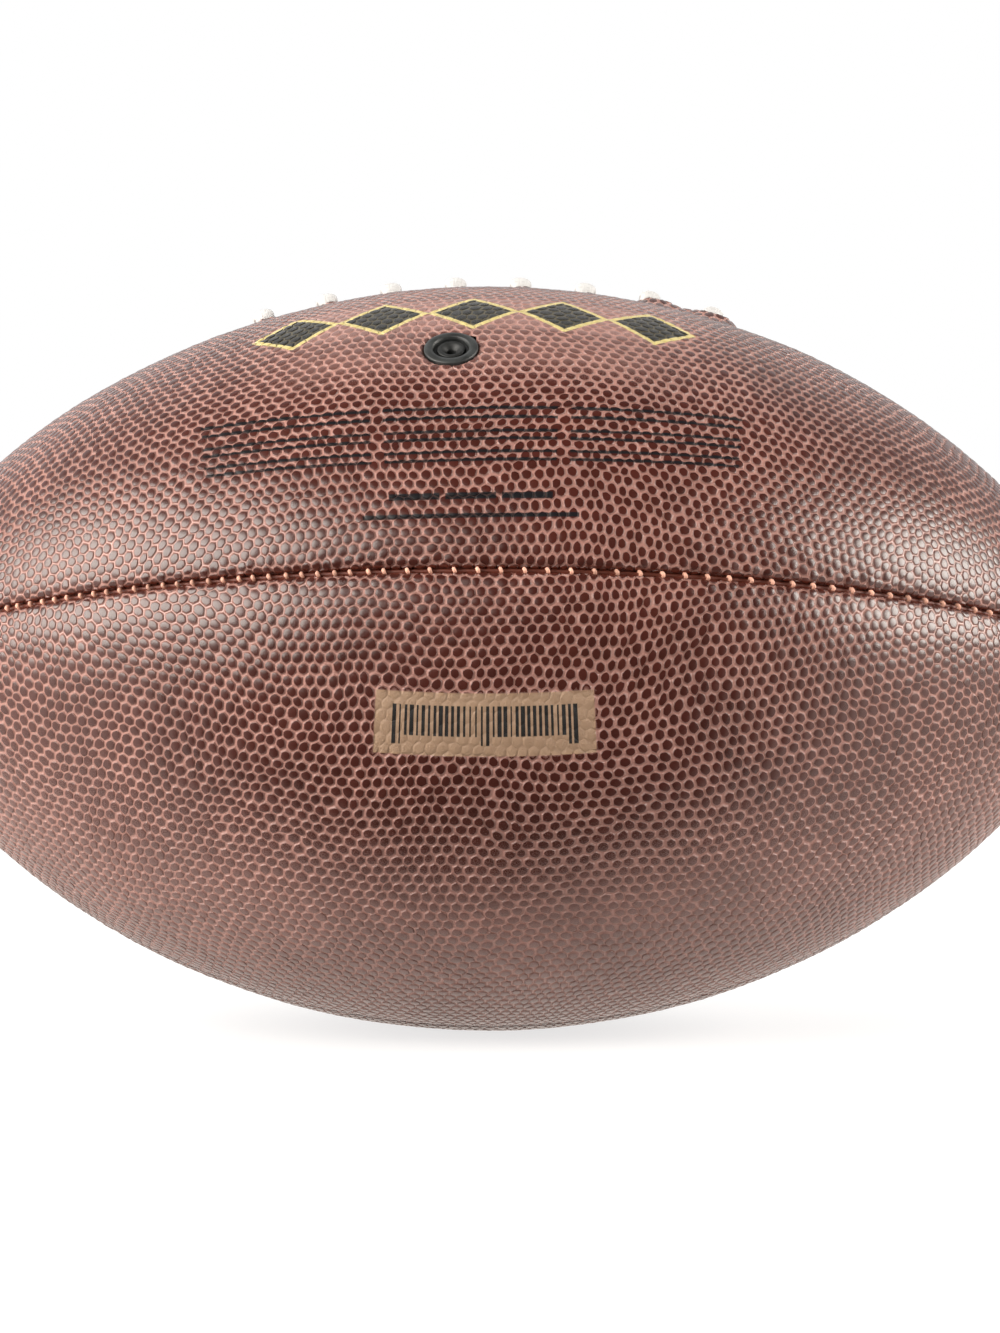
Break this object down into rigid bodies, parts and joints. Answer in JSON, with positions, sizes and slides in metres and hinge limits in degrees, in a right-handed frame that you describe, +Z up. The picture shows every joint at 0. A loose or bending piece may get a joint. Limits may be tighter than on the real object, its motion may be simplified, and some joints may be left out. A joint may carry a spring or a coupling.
{
  "type": "american football",
  "caption": "American football of four sewn leather panels with a lined cover, bladder, white lacing and a needle valve.",
  "frame": {"origin": "point on the floor under the middle of the ball, which is the middle of the underside of its box", "axes": "+X along the ball from tip to tip, towards the right-hand tip as the valve side faces the viewer; +Z up; +Y away from the viewer"},
  "size_m": [0.284, 0.1708, 0.1736],
  "materials": {
    "cover": "pebbled composite leather, dark red-brown, satin on the tops of the pebbles",
    "lining": "woven cotton lining",
    "seam_thread": "waxed copper-coloured thread",
    "lace": "white coated lace, satin",
    "lace_facing": "smooth split leather",
    "tongue": "padded cloth strip",
    "bladder": "matt butyl rubber",
    "valve_ring": "black rubber, satin",
    "valve_housing": "black rubber, matt",
    "valve_plug": "soft black rubber, satin"
  },
  "bodies": {
    "root": {"panel_top_front": "cover", "panel_top_back": "cover", "panel_bottom_front": "cover", "panel_bottom_back": "cover", "lining_top_front": "lining", "lining_top_back": "lining", "lining_bottom_front": "lining", "lining_bottom_back": "lining", "seam_thread_front": "seam_thread", "seam_thread_back": "seam_thread", "seam_thread_bottom": "seam_thread", "seam_thread_top_left": "seam_thread", "seam_thread_top_right": "seam_thread", "lace": "lace", "lace_facing_front": "lace_facing", "lace_facing_back": "lace_facing", "tongue": "tongue", "bladder": "bladder", "valve_ring": "valve_ring", "valve_housing": "valve_housing", "valve_plug": "valve_plug"}
  },
  "joints": []
}
